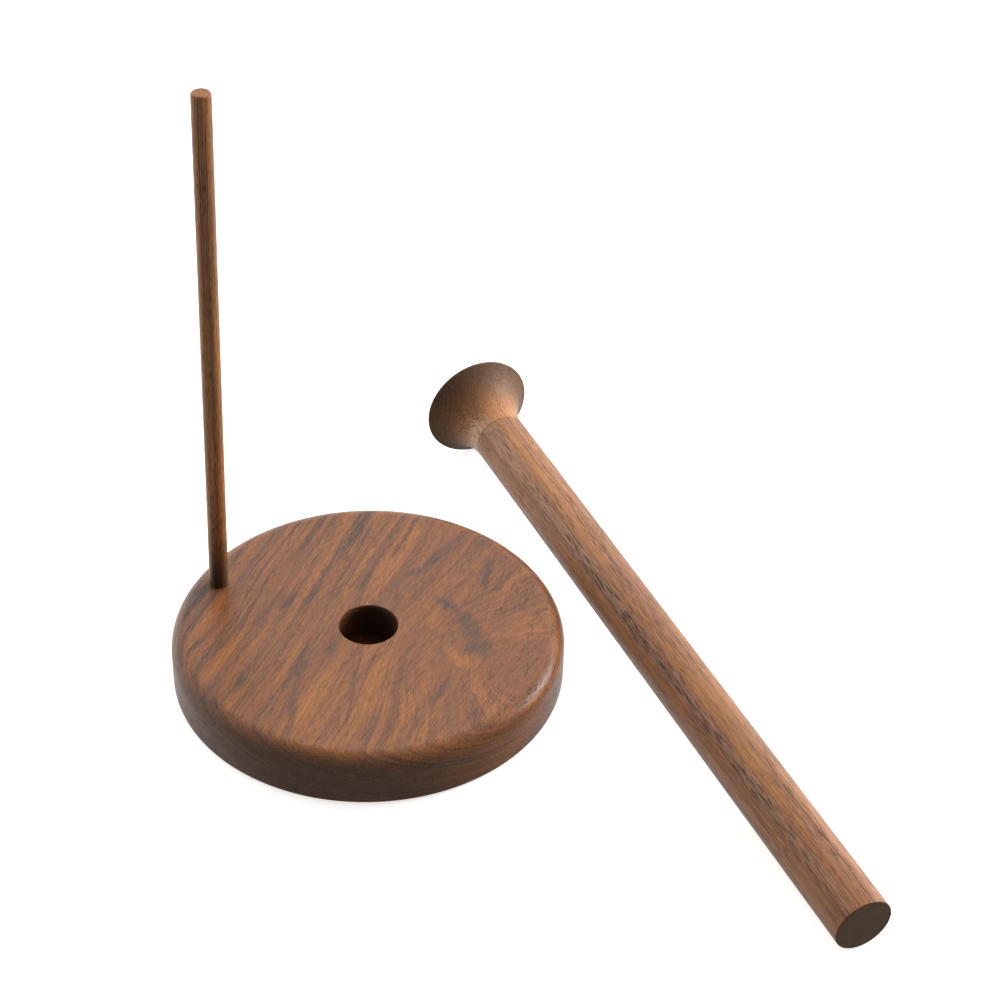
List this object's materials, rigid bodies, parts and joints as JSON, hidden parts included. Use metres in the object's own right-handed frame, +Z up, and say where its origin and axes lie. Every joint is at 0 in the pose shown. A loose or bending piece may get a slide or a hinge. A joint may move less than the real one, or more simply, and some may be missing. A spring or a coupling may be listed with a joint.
{
  "type": "kitchen roll holder",
  "caption": "Standing walnut kitchen-roll holder: round base with a thin tension arm and a blind socket, and a lift-out post with a trumpet head laid beside it.",
  "frame": {"origin": "centre of the base's underside, at table level: the slab itself is 0.6 mm above it on its pads", "axes": "+Z up along the socket, -X towards the tension arm, +Y towards the back"},
  "size_m": [0.2957, 0.239, 0.2369],
  "materials": {
    "base_walnut": "oiled walnut, satin, open fine pores",
    "arm_walnut": "oiled walnut, satin, open fine pores",
    "post_walnut": "oiled walnut, satin, open fine pores",
    "head_walnut": "oiled walnut, satin, open fine pores",
    "dowel_beech": "bare beech, fluted",
    "pad_rubber": "matt, fine texture"
  },
  "bodies": {
    "stand": {"base": "base_walnut", "side_arm": "arm_walnut", "foot_pad_front_left": "pad_rubber", "foot_pad_front_right": "pad_rubber", "foot_pad_back_left": "pad_rubber", "foot_pad_back_right": "pad_rubber"},
    "post": {"post_shaft": "post_walnut", "post_head": "head_walnut", "head_dowel": "dowel_beech"}
  },
  "joints": [
    {"name": "post_lift", "type": "slide", "parent": "stand", "child": "post", "axis": [0, 0, 1], "range_m": [0, 0.25]}
  ]
}
